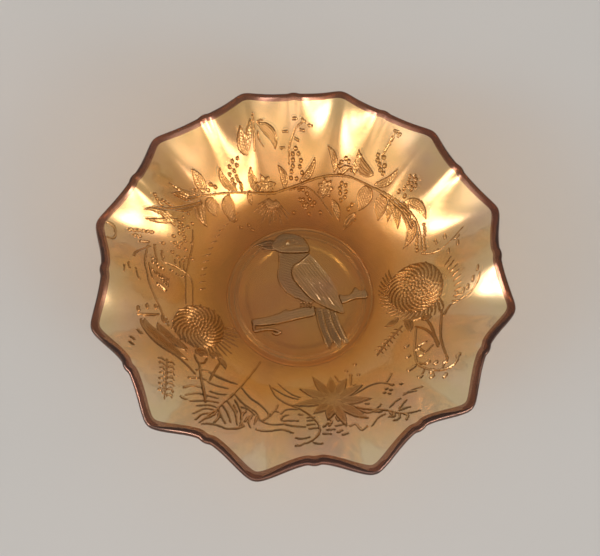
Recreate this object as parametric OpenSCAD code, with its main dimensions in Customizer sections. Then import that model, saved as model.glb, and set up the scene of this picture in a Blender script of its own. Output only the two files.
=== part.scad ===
// Pressed glass bowl with a ruffled rim, a collar foot and a bird in the well.
// One gather of glass in life: each node below is a named region of that pressing.

/* [Bowl] */
// Radius to the points of the rim
tip_r = 118; // [96:1:144]
// Height of the rim at its points
tip_z = 59.5; // [48:0.5:74]
// Thickness of the wall
wall_t = 4.2; // [3:0.1:5.5]
// Upward slope of the wall where it leaves the well
slope_start = 0.28; // [0.2:0.02:0.4]
// Upward slope of the wall at the rim
slope_end = 0.52; // [0.4:0.02:0.7]

/* [Ruffled rim] */
// Number of points round the rim
point_count = 12; // [8:1:16]
// Direction of the first point, in degrees
point_phase = 22; // [0:1:30]
// How far the rim is drawn in between two points
scallop_in = 11; // [6:0.5:14]
// How far the rim is lifted between two points
scallop_rise = 7; // [3:0.5:9]
// How far the crimp's mark stands out in the middle of each scallop
crimp_nub = 1.1; // [0:0.1:2]
// Width of the rolled band at the rim
rim_band = 4; // [3.2:0.1:8]
// How far out of round the hand-worked rim is
rim_oval = 0.8; // [0:0.1:2]
// How far one pair of opposite sides of the rim hangs low
rim_sag = 1.2; // [0:0.1:3]

/* [Foot and well] */
// Radius of the well floor
well_r = 46; // [38:1:56]
// Height of the well floor above the table
well_z = 9; // [7:0.5:12]
// Thickness of the well floor
floor_t = 4; // [3:0.5:5]
// How far the foot's flat bottom lies inside the well's edge
foot_inset = 1; // [0:0.5:8]
// Width of the foot's flat bottom
foot_w = 3.5; // [2:0.5:6]
// Width of the rope border round the well
rope_w = 1.6; // [1:0.2:3]

/* [Relief] */
// Height of flowers and fruit over the ground
flower_h = 1.4; // [0.8:0.1:2]
// Height of leaves over the ground
leaf_h = 0.9; // [0.5:0.1:1.5]
// Height of stems over the ground
stem_h = 0.7; // [0.4:0.1:1.2]
// Width of stems
stem_w = 1.6; // [1:0.1:2.5]
// Height of the bird and its perch over the well floor
bird_h = 1.2; // [0.8:0.1:2]

/* [Hidden] */

ruffle_from = 0.25;   // share of the wall's width where the ruffling starts
ruffle_power = 1.6;
crease_tip = 0.10;    // roundness of each crease at the rim
crease_low = 0.50;    // and how much rounder it is lower down
nub_width = 0.045;    // share of a scallop that the crimp's mark takes up
wall_rows = 11;
lip_steps = 6;
lip_r = wall_t / 2;
wall_rise = tip_z - well_z;
wall_run = tip_r - well_r;
drawn_well_r = 46;    // well and rim radii that the picture's coordinates are drawn for
drawn_tip_r = 118;
foot_r = well_r - foot_inset;
foot_flare = 1.2;     // how far the foot leans out as it rises to the floor
foot_lean = 1.5;      // and how far its inside leans in
crown = 0.85;         // height of a pad's shoulder, as a share of its top
rim_start = tip_r - rim_band;
ground_z = well_z - floor_t;
amber = "#c8842e";
straw = "#d6a75a";
gold = "#b8823a";

// Stations round one scallop, closer together at the point
scallop_steps = [0, 0.03, 0.08, 0.16, 0.27, 0.38, 0.46, 0.5, 0.54, 0.62, 0.73, 0.84, 0.92, 0.97];
stations = [
    for (k = [0 : point_count - 1], u = scallop_steps)
        point_phase + (k + u) * 360 / point_count
];

// ---- the inner surface of the bowl, by plan radius and direction ----
function unit(v) = v / norm(v);
function share(rho) = max(0, (rho - well_r) / wall_run);
function profile_z(t) =
    well_z + wall_run * (slope_start * (t^3 - 2 * t^2 + t) + slope_end * (t^3 - t^2))
    + wall_rise * (3 * t^2 - 2 * t^3);
function ruffle(t) = t <= ruffle_from ? 0 : ((t - ruffle_from) / (1 - ruffle_from))^ruffle_power;
function crease(t, s) =
    let (e = crease_tip + crease_low * (1 - min(1, t)))
    (sqrt(s^2 + e^2) - e) / (sqrt(1 + e^2) - e);
function bowl(rho, dir) =
    let (
        t = share(rho),
        w = ruffle(t),
        turn = (dir - point_phase) * point_count / 360,
        s = abs(sin(180 * turn)),
        nub = crimp_nub * exp(-((turn - floor(turn) - 0.5) / nub_width)^2) * w^3,
        r = rho - scallop_in * crease(t, s) * w + rim_oval * cos(2 * dir - 37) * w + nub,
        z = profile_z(t) + scallop_rise * s^2 * w - rim_sag * sin(2 * dir) * w
    )
    [r * cos(dir), r * sin(dir), z];
function bowl_normal(rho, dir) =
    let (
        out = bowl(rho + 0.2, dir) - bowl(rho, dir),
        round_ = bowl(max(rho, 1), dir + 0.2) - bowl(max(rho, 1), dir - 0.2)
    )
    unit(cross(out, round_));
function wall_point(rho, dir, depth) = bowl(rho, dir) - depth * bowl_normal(rho, dir);
// A point of the picture laid on this bowl: the well's picture on its well, the wall's on its wall
function laid(r) =
    r <= drawn_well_r
        ? r * well_r / drawn_well_r
        : well_r + wall_run * (r - drawn_well_r) / (drawn_tip_r - drawn_well_r);
// and raised by h over the inner surface
function on_bowl(p, h) = wall_point(laid(norm(p)), atan2(p.y, p.x), -h);

// ---- a closed tube of equal rings, joined end to end round the bowl ----
module ring_of_sections(sections) {
    n = len(sections);
    m = len(sections[0]);
    polyhedron(
        points = [for (s = sections, p = s) p],
        faces = [
            for (i = [0 : n - 1], j = [0 : m - 1])
                let (i2 = (i + 1) % n, j2 = (j + 1) % m)
                each [
                    [i * m + j, i2 * m + j, i2 * m + j2],
                    [i * m + j, i2 * m + j2, i * m + j2]
                ]
        ]
    );
}

// ---- a low crowned pad lying on the bowl ----
module pad(outline, mid, h, top = 0.72) {
    n = len(outline);
    base = [for (p = outline) on_bowl(p, 0)];
    crown = [for (p = outline) on_bowl(mid + top * (p - mid), h * crown)];
    polyhedron(
        points = concat(base, crown, [on_bowl(mid, 0), on_bowl(mid, h)]),
        faces = [
            for (i = [0 : n - 1])
                let (k = (i + 1) % n)
                each [
                    [2 * n, i, k],
                    [i, n + i, n + k],
                    [i, n + k, k],
                    [2 * n + 1, n + k, n + i]
                ]
        ]
    );
}

function left_of(v) = unit([-v.y, v.x]);
function leaf_outline(a, b, w, bend, n = 5) =
    let (
        side = left_of(b - a),
        mid = [for (i = [0 : n]) a + (b - a) * i / n + side * bend * 4 * (i / n) * (1 - i / n)],
        half = [for (i = [0 : n]) w / 2 * sin(180 * (i / n)^0.8)]
    )
    concat(
        [mid[0]],
        [for (i = [1 : n - 1]) mid[i] - side * half[i]],
        [mid[n]],
        [for (i = [n - 1 : -1 : 1]) mid[i] + side * half[i]]
    );
function disc_outline(c, r, n) = [for (i = [0 : n - 1]) c + r * [cos(360 * i / n), sin(360 * i / n)]];

// A leaf from a to b: w wide, bowed by bend to the left of its run
module leaf(a, b, w, bend = 0, h = leaf_h) {
    pad(leaf_outline(a, b, w, bend), (a + b) / 2 + left_of(b - a) * bend, h, 0.6);
}
module berry(c, r, h = flower_h) {
    pad(disc_outline(c, r, 6), c, h, 0.6);
}
module disc(c, r, h = flower_h, n = 14) {
    pad(disc_outline(c, r, n), c, h, 0.75);
}
// Petals round a centre, from radius r0 out to r1
module petals(c, count, r0, r1, w, turn = 0) {
    for (i = [0 : count - 1]) {
        way = [cos(turn + 360 * i / count), sin(turn + 360 * i / count)];
        leaf(c + r0 * way, c + r1 * way, w);
    }
}

// A smooth path through a few chosen points
function bend_at(p, i, f) =
    let (
        n = len(p) - 1,
        a = p[max(0, i - 1)], b = p[i], c = p[min(n, i + 1)], d = p[min(n, i + 2)]
    )
    0.5 * (2 * b + (c - a) * f + (2 * a - 5 * b + 4 * c - d) * f^2 + (3 * b - a - 3 * c + d) * f^3);
function path(p, steps = 4) = concat(
    [for (i = [0 : len(p) - 2], s = [0 : steps - 1]) bend_at(p, i, s / steps)],
    [p[len(p) - 1]]
);
// A stem of triangular section along a path
module stem(points, w = stem_w, h = stem_h) {
    p = path(points);
    n = len(p);
    way = [for (i = [0 : n - 1]) left_of(p[min(n - 1, i + 1)] - p[max(0, i - 1)])];
    polyhedron(
        points = [
            for (i = [0 : n - 1])
                each [
                    on_bowl(p[i] + way[i] * w / 2, 0),
                    on_bowl(p[i] - way[i] * w / 2, 0),
                    on_bowl(p[i], h)
                ]
        ],
        faces = concat(
            [[0, 2, 1]],
            [
                for (i = [0 : n - 2], j = [0 : 2])
                    let (a = 3 * i + j, b = 3 * i + (j + 1) % 3)
                    each [[a, b, b + 3], [a, b + 3, a + 3]]
            ],
            [[3 * n - 3, 3 * n - 2, 3 * n - 1]]
        )
    );
}

// ---- the plain pressing ----
wall_foot = [
    well_r + wall_t * sin(atan(slope_start)),
    well_z - wall_t * cos(atan(slope_start))
];

module foot_ring() {
    color(gold)
    rotate_extrude($fn = 144)
        polygon([
            [foot_r - foot_w, 0],
            [foot_r, 0],
            [foot_r + 0.75 * foot_flare, ground_z / 2],
            [foot_r + foot_flare, ground_z],
            [foot_r - foot_w - foot_lean, ground_z],
            [foot_r - foot_w - 0.4 * foot_lean, ground_z / 2]
        ]);
}

module well_floor() {
    color(gold)
    rotate_extrude($fn = 144)
        polygon([
            [0, ground_z],
            [foot_r + foot_flare, ground_z],
            wall_foot,
            [well_r, well_z],
            [0, well_z]
        ]);
}

module rope_border() {
    color(gold)
    rotate_extrude($fn = 144)
        polygon([
            [well_r - rope_w, well_z],
            [well_r, well_z],
            [well_r - rope_w * 0.2, well_z + rope_w * 0.3],
            [well_r - rope_w * 0.8, well_z + rope_w * 0.3]
        ]);
}

module bowl_wall() {
    rows = [for (i = [0 : wall_rows]) well_r + (rim_start - well_r) * i / wall_rows];
    color(amber)
    ring_of_sections([
        for (dir = stations)
            concat(
                [for (i = [0 : wall_rows]) wall_point(rows[i], dir, 0)],
                [for (i = [wall_rows : -1 : 0]) wall_point(rows[i], dir, wall_t)]
            )
    ]);
}

// The rolled edge: a half round of the wall's own thickness
module ruffled_rim() {
    lip_c = tip_r - lip_r;
    color(straw)
    ring_of_sections([
        for (dir = stations)
            let (
                n = bowl_normal(lip_c, dir),
                out = unit(bowl(lip_c + 0.2, dir) - bowl(lip_c - 0.2, dir)),
                c = bowl(lip_c, dir) - lip_r * n
            )
            concat(
                [wall_point(rim_start, dir, 0)],
                [
                    for (i = [0 : lip_steps])
                        let (a = 90 - 180 * i / lip_steps)
                        c + lip_r * (cos(a) * out + sin(a) * n)
                ],
                [wall_point(rim_start, dir, wall_t)]
            )
    ]);
}

// ---- the bird in the well, looking left on a cut branch ----
module bird_head() {
    head = path([
        [-19, 31], [-18.5, 37], [-13, 40.2], [-6, 39.5],
        [1, 35.5], [3, 30], [-4, 29], [-14, 28.5], [-19, 31]
    ], 2);
    color(straw) {
        pad([for (i = [len(head) - 2 : -1 : 0]) head[i]], [-8, 34], bird_h, 0.6);
        leaf([-19.6, 31.5], [-30, 29.8], 4.6, -1, bird_h);
    }
}

module bird_body() {
    body = path([
        [1, 27.5], [-9, 27], [-14.5, 21], [-14.5, 11], [-10.5, 3],
        [-3, -2.6], [-1, -1], [-7, 9], [-6, 18], [1, 27.5]
    ], 2);
    color(gold)
    pad([for (i = [0 : len(body) - 2]) body[i]], [-9.5, 14], bird_h, 0.55);
}

module bird_wing() {
    wing = path([
        [4, 26], [-4, 19], [-5, 12], [2, 2], [10, -5], [24, -8.5], [23, 1], [15, 14], [8, 22], [4, 26]
    ], 2);
    color(gold)
    pad([for (i = [0 : len(wing) - 2]) wing[i]], [8, 9], bird_h, 0.6);
}

module bird_tail() {
    color(gold)
    for (i = [0 : 2])
        leaf([13 + 4 * i, -9.5 + 0.6 * i], [20 + 4.8 * i, -32.5 + 2 * i], 4.2, 0, bird_h);
}

module perch_branch() {
    color(amber) {
        stem([[-27, -21], [-12, -17.5], [0, -13.5], [9, -10.5]], 6, bird_h);
        stem([[28, -1.2], [34, 1.5], [41, 3.2]], 5, bird_h);
        stem([[-24, -26], [-17, -25.4], [-10, -26]], 2, bird_h);
    }
}

// ---- flowers and foliage on the wall ----
// Each leaf is [from x, from y, to x, to y, width, bow]
module leaves(rows, h = leaf_h) {
    for (r = rows)
        leaf([r[0], r[1]], [r[2], r[3]], r[4], r[5], h);
}
// Each bunch of berries is a list of places
module berries(places, r, h = flower_h) {
    for (c = places)
        berry(c, r, h);
}

module garland_stem() {
    color(straw)
    stem([
        [-72, 47], [-50, 57.5], [-24, 62.5], [-5, 70], [15, 75], [33, 71.5], [56, 59], [69, 45], [70, 34]
    ]);
}

module garland_leaves() {
    color(straw)
    leaves([
        [-64.5, 53.5, -72, 63.5, 5.5, -1], [-46, 61.5, -57, 69.5, 4.5, -2], [-33, 63.6, -37.5, 74, 5, -1],
        [-16, 68, -20.5, 78, 4, 1.5], [-5, 73, 2.5, 84, 4, -1.5], [15.5, 77.5, 10, 89, 4, 2],
        [39.5, 73.5, 31, 88, 6, -3], [43, 68.6, 54, 75, 4, -2], [52, 58, 57, 44, 5, 1.5],
        [58, 55, 63.5, 41.5, 5, 1.5], [65.5, 54, 74, 45.5, 4.5, 2], [66, 43, 61, 31, 5, -1.5],
        [-60, 50, -57, 43, 7, -1], [-50, 55, -46, 43, 7, -1.5], [-66.5, 47, -62, 35.5, 6, -1.5],
        [-72, 44, -83, 45.5, 4, 1], [36, 68, 33.5, 57, 9, 0], [45.5, 62, 45.5, 49.5, 7, 0],
        [16, 71.5, 21, 50.5, 4, -1], [31, 54, 24.5, 45, 4.5, 1], [-80, 27, -98, 29, 4, 3]
    ]);
}

module garland_berries() {
    color(gold)
    berries([
        [-46.5, 77], [-49.8, 74.5], [-46.6, 73.2], [-51.5, 71.3], [-48, 70], [-51, 67.2], [-45.5, 68],
        [-48.5, 65], [-43, 64], [-61, 58.8], [-57.5, 59], [-10, 88], [-12, 85], [-8, 85.2], [-11, 81.6],
        [-6.5, 82], [-11, 78], [-7, 78.5], [-11.8, 74.6], [-8, 75], [22.5, 84], [19.6, 82], [25, 82],
        [22.2, 80.2], [27.6, 79], [43, 85], [46.5, 83], [44, 80.5], [47, 79], [44.5, 77], [61.5, 67.5],
        [62.5, 71], [65.5, 69.5], [59, 64.5], [64.5, 65.8], [68, 66.5], [61.5, 62], [-5.5, 65],
        [-2, 65.5], [-4.5, 61.5], [-1, 61.5], [2, 63], [0, 58.4], [3.5, 59.5]
    ], 1.3);
}

module garland_flowers() {
    color(straw) {
        disc([-27, 66.5], 2.2);
        petals([-27, 66.5], 7, 2.6, 6.4, 3, 25);
        disc([10.8, 68.2], 2);
        petals([10.8, 68.2], 7, 2.4, 5.6, 3);
        leaves([
            [-28, 58, -34, 53, 1.6, 0], [-25, 57, -29, 49, 1.6, 0], [-21, 57.5, -22, 47, 1.6, 0],
            [-17, 58.5, -13, 48, 1.6, 0], [-14, 60, -6, 53, 1.6, 0]
        ]);
    }
}

module moth_leaves() {
    color(straw)
    leaves([[-40, 80.5, -44.5, 93, 7.5, 1], [-36.5, 82, -37.5, 100, 2, 0], [-34, 95.5, -23.5, 86.5, 6, 3]]);
}

module wattle_sprays() {
    color(gold) {
        stem([[-68, 16], [-70, 0], [-68, -13]], 1.2);
        stem([[-92, 6], [-93.5, 0], [-90, -12], [-82, -23]], 1.4);
        berries([
            [-101, 17], [-98.5, 17.6], [-96, 18], [-93.4, 18.4], [-94, 13.5], [-78.5, 31.5], [-76, 35],
            [-74, 38.5], [-76, 28.5], [-77.5, 25], [-74, 24], [-72.5, 20.5], [-76, 19.5], [-79, 16],
            [-75, 15], [-71.8, 13], [-75.5, 11.2], [-88.5, 5], [-86, 2.5], [-83, 1], [-88, -2.5],
            [-85.4, -5], [-82.6, -7], [-80.4, -9.4], [-94, 41], [-93.5, 37.6], [-90.5, 35],
            [-89, 39.4], [-86, 38]
        ], 1.2);
    }
}

module left_waratah() {
    c = [-58, -29];
    color(straw) {
        disc(c, 12.4, flower_h, 20);
        petals(c, 18, 12.9, 17.5, 3.2);
        leaves([
            [-76, -40, -89, -32, 5, 2], [-74, -46, -61, -52, 4.5, -1], [-77, -31, -84, -24, 3.5, 1],
            [-58, -49.5, -53, -55, 5, 1], [-49, -49.5, -42, -53, 4.5, 1]
        ]);
        stem([[-87, -36], [-82, -46], [-72, -53], [-60, -58]], 2.2);
        stem([[-55, -58], [-50, -68], [-49, -78]], 1.4);
    }
}

module bead_sprays() {
    color(gold)
    for (i = [0 : 6], k = [-1, 1]) {
        at = [-73 + 0.9 * i, -59 - 2.9 * i];
        leaf(at + [1.2 * k, 0], at + [4.4 * k, 0.4], 1.8, 0.3 * k);
    }
}

module fern_frond() {
    spine = path([[-21, -46], [-30, -62], [-38, -77], [-44, -88], [-49, -97]], 3);
    color(straw) {
        stem([[-21, -46], [-30, -62], [-38, -77], [-44, -88], [-49, -97]], 1.6);
        for (i = [4 : 11], k = [-1, 1]) {
            along = spine[i] - spine[i - 1];
            side = left_of(along) * -k;
            reach = k > 0 ? 15 : 11;
            leaf(spine[i] + side * 1.4, spine[i] + side * reach + along * 0.4, 2.2, 1.4 * k);
        }
    }
}

module flannel_flower() {
    c = [23, -67.5];
    color(straw) {
        disc(c, 4.4, flower_h, 18);
        petals(c, 11, 5, 18, 5, 8);
    }
}

module grass_leaves() {
    color(gold)
    leaves([
        [-14, -60, 1, -69, 3, -2], [-12, -66, 0, -75, 2.6, -1], [8, -80, 15, -92, 3, 1.5],
        [14.5, -94.5, 8, -104, 2.6, 1.5], [-2, -83, 7, -84, 2, 0.4], [-3, -88, 9, -89.5, 2, 0.4],
        [4, -97.6, 11, -99, 2, -0.4], [18, -94, 23, -91, 2, 0], [26, -86, 31, -90, 2, 0],
        [46, -76.5, 55, -80.5, 2.4, 0], [57, -81.5, 67, -84, 2.2, 0.6], [54, -77, 60, -71, 1.6, 0.4],
        [59, -79, 64, -72, 1.6, 0.4], [62, -68, 70, -60, 2.4, 1]
    ]);
}

module right_waratah() {
    c = [69, 5];
    color(straw) {
        disc(c, 12, flower_h, 20);
        petals(c, 18, 12.5, 17, 3.2, 5);
        leaves([[62, -13.5, 53, -18, 4, 0.6], [68, -14.5, 65, -23, 4, 0.6], [74, -14.5, 81, -33, 3, 1]]);
        stem([[83, -13], [83, -24], [86, -46]], 1.6);
    }
}

module berry_spray() {
    color(gold) {
        stem([[70, -22], [69, -40], [72, -48], [85, -52], [93, -47]], 1.3);
        berries([
            [64.5, -33], [65, -40], [64.8, -48.5], [75.5, -46], [79.5, -48], [70, -53], [76, -54.5],
            [83, -55.6], [74, -34], [75, -38.5], [95, -44.6]
        ], 1.5);
    }
}

// Each sprig is [from x, from y, direction, pairs of seeds]
module rim_sprigs() {
    color(gold)
    for (s = [[-14.5, 90, 78, 4], [46, 85.5, 62, 4], [77, 24.5, 30, 4], [90, -7.5, 30, 4]]) {
        from = [s[0], s[1]];
        way = [cos(s[2]), sin(s[2])];
        side = left_of(way);
        stem([from, from + 14 * way], 0.9);
        for (i = [1 : s[3]], k = [-1, 1])
            berry(from + way * 3.2 * i + side * k * 2.6, 0.9, stem_h);
    }
}

foot_ring();
well_floor();
rope_border();
bowl_wall();
ruffled_rim();
bird_head();
bird_body();
bird_wing();
bird_tail();
perch_branch();
garland_stem();
garland_leaves();
garland_berries();
garland_flowers();
moth_leaves();
wattle_sprays();
left_waratah();
bead_sprays();
fern_frond();
flannel_flower();
grass_leaves();
right_waratah();
berry_spray();
rim_sprigs();
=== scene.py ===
# A pressed glass bowl with a ruffled rim and a collar foot, a bird in the well and wild flowers
# round the wall.
import math

import bpy
import numpy as np
from mathutils import Matrix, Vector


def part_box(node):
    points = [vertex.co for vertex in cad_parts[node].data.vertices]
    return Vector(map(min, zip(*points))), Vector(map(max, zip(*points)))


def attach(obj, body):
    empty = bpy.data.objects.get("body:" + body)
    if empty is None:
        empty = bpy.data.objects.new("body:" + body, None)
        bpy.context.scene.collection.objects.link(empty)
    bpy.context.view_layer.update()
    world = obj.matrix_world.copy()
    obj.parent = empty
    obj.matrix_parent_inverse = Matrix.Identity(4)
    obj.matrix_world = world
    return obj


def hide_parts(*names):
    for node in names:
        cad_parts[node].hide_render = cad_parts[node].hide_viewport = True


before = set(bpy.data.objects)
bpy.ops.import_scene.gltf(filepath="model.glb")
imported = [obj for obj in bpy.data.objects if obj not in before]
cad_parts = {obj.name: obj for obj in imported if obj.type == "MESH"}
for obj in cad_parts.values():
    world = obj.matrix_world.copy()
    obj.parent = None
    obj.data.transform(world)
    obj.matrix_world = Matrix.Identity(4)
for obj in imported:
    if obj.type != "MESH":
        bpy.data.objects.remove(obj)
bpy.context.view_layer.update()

# ---------------------------------------------------------------------------------------------
# The bird's head, in profile with a heavy bill. Like all the picture it is pressed in one with the
# bowl: a gob of soda-lime glass is squeezed between a plain mould and a plunger that carries the
# picture, so the inside is one smooth bowl shape and every part of the picture stands out of it.

# The inside of the bowl, in millimetres, as all measures are until a mesh is made
MM = 0.001
TIP_R, TIP_Z = 118.0, 59.5  # where the rim's points are
SLOPE_START, SLOPE_END = 0.28, 0.52  # of the wall, at the well and at the rim
POINTS, POINT_PHASE = 12, math.radians(22)
SCALLOP_IN, SCALLOP_RISE = 11.0, 7.0
RIM_OVAL, RIM_OVAL_WAY, RIM_SAG = 0.8, math.radians(37), 1.2  # hand work leaves the rim uneven
RUFFLE_FROM, RUFFLE_POWER = 0.25, 1.6
CREASE_TIP, CREASE_LOW = 0.10, 0.50  # how soft the crease below each point is, up and down
NUB_OUT, NUB_WIDTH = 1.1, 0.045  # the crimp's small mark between two points
RIM_BAND = 4.0  # of glass that belongs to the rim, outside the wall
WELL_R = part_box("rope_border")[1][0] / MM
WELL_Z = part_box("rope_border")[0][2] / MM
COLUMNS = 1200  # a cell is about 0.6 mm at the rim and 0.24 mm in the well


def bowl(rho, way):
    """Points of the inside of the bowl at plan radius rho and direction way."""
    run = TIP_R - WELL_R
    t = np.maximum(0, (rho - WELL_R) / run)
    ruffle = np.maximum(0, (t - RUFFLE_FROM) / (1 - RUFFLE_FROM)) ** RUFFLE_POWER
    turn = (way - POINT_PHASE) * POINTS / (2 * math.pi)
    s = np.abs(np.sin(math.pi * turn))
    e = CREASE_TIP + CREASE_LOW * (1 - np.minimum(1, t))
    crease = (np.sqrt(s**2 + e**2) - e) / (np.sqrt(1 + e**2) - e)
    nub = NUB_OUT * np.exp(-(((turn % 1) - 0.5) / NUB_WIDTH) ** 2) * ruffle**3
    r = rho - SCALLOP_IN * crease * ruffle + RIM_OVAL * np.cos(2 * way - RIM_OVAL_WAY) * ruffle + nub
    z = WELL_Z + run * (SLOPE_START * (t**3 - 2 * t**2 + t) + SLOPE_END * (t**3 - t**2))
    z = z + (TIP_Z - WELL_Z) * (3 * t**2 - 2 * t**3)
    z = z + SCALLOP_RISE * s**2 * ruffle - RIM_SAG * np.sin(2 * way) * ruffle
    return np.stack([r * np.cos(way), r * np.sin(way), z], axis=-1)


def unit(v):
    return v / np.linalg.norm(v, axis=-1, keepdims=True)


def out_of_glass(rho, way):
    """The upward normal of the inside of the bowl."""
    d = 0.2
    rho = np.maximum(rho, 1.0)
    along = bowl(rho + d, way) - bowl(rho, way)
    round_ = bowl(rho, way + d / 60) - bowl(rho, way - d / 60)
    return unit(np.cross(along, round_))


# Plan radii of the wall's rows, each cell as long as it is wide
step = 1 + 2 * math.pi / COLUMNS
ROWS = round(math.log((TIP_R - RIM_BAND) / WELL_R) / math.log(step))
row_r = WELL_R * ((TIP_R - RIM_BAND) / WELL_R) ** (np.arange(ROWS + 1) / ROWS)
column_way = 2 * math.pi * np.arange(COLUMNS) / COLUMNS

# The well's square grid is bent into a disc, so that it has no crowded middle and its edge has
# the wall's own columns
SIDE = COLUMNS // 4
u, v = np.meshgrid(np.linspace(-1, 1, SIDE + 1), np.linspace(-1, 1, SIDE + 1), indexing="ij")
wide = np.abs(u) > np.abs(v)
reach = np.where(wide, u, v)
turn = np.where(
    wide,
    math.pi / 4 * v / np.where(wide, u, 1),
    math.pi / 2 - math.pi / 4 * u / np.where(wide | (v == 0), 1, v),
)
well_x, well_y = WELL_R * reach * np.cos(turn), WELL_R * reach * np.sin(turn)
edge = np.maximum(np.abs(u), np.abs(v)) > 1 - 0.5 / SIDE
well_number = np.empty((SIDE + 1, SIDE + 1), dtype=np.int64)
well_way = np.arctan2(well_y, well_x)
well_number[edge] = np.round(well_way[edge] / (2 * math.pi) * COLUMNS).astype(int) % COLUMNS
well_number[~edge] = (ROWS + 1) * COLUMNS + np.arange((~edge).sum())


def ring_cells(first, second):
    """Quads between two rings of vertex numbers, in the order that faces up when second is outside."""
    return np.stack([first, second, np.roll(second, -1), np.roll(first, -1)], axis=1)


wall_number = np.arange((ROWS + 1) * COLUMNS).reshape(ROWS + 1, COLUMNS)
wall_cells = np.concatenate([ring_cells(wall_number[i], wall_number[i + 1]) for i in range(ROWS)])
well_cells = np.stack(
    [well_number[:-1, :-1], well_number[1:, :-1], well_number[1:, 1:], well_number[:-1, 1:]], axis=-1
).reshape(-1, 4)
CELLS = np.concatenate([wall_cells, well_cells])
plan_r = np.concatenate([np.repeat(row_r, COLUMNS), np.hypot(well_x, well_y)[~edge]])
plan_way = np.concatenate([np.tile(column_way, ROWS + 1), well_way[~edge]])
PLAN = np.stack([plan_r * np.cos(plan_way), plan_r * np.sin(plan_way)], axis=1)
GROUND = bowl(plan_r, plan_way)
UP = out_of_glass(plan_r, plan_way)
UP[plan_r < WELL_R * 0.999] = (0, 0, 1)
HEIGHT = np.zeros(len(PLAN))
cut = np.zeros(len(PLAN), dtype=bool)
plain = np.ones(len(CELLS), dtype=bool)

# Lustre glass: clear soda-lime glass sprayed while hot with iron chloride, which leaves a thin
# orange metallic film. It is see-through and amber where the film is thick, straw near the rim,
# with a soft satin mirror and oil-slick pinks.


def linear(hex_colour):
    """sRGB hex to the linear RGBA that the shader wants."""
    c = [int(hex_colour[i : i + 2], 16) / 255 for i in (1, 3, 5)]
    return [x / 12.92 if x <= 0.04045 else ((x + 0.055) / 1.055) ** 2.4 for x in c] + [1.0]


def add(tree, kind, settings=None, **links):
    """Adds a node. settings fill its properties and sockets, links join its inputs."""
    node = tree.nodes.new(kind)
    for key, value in (settings or {}).items():
        if isinstance(key, str) and hasattr(node, key):
            setattr(node, key, value)
        else:
            node.inputs[key].default_value = value
    for key, source in links.items():
        name = int(key[1:]) if key[1:].isdigit() else key.replace("_", " ").strip()
        tree.links.new(source, node.inputs[name])
    return node


def ramp(tree, factor, stops):
    """A colour ramp from (place, hex) stops."""
    node = add(tree, "ShaderNodeValToRGB", None, Fac=factor)
    bar = node.color_ramp.elements
    while len(bar) < len(stops):
        bar.new(0.5)
    for element, (place, colour) in zip(bar, stops):
        element.position = place
        element.color = linear(colour)
    return node


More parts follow.
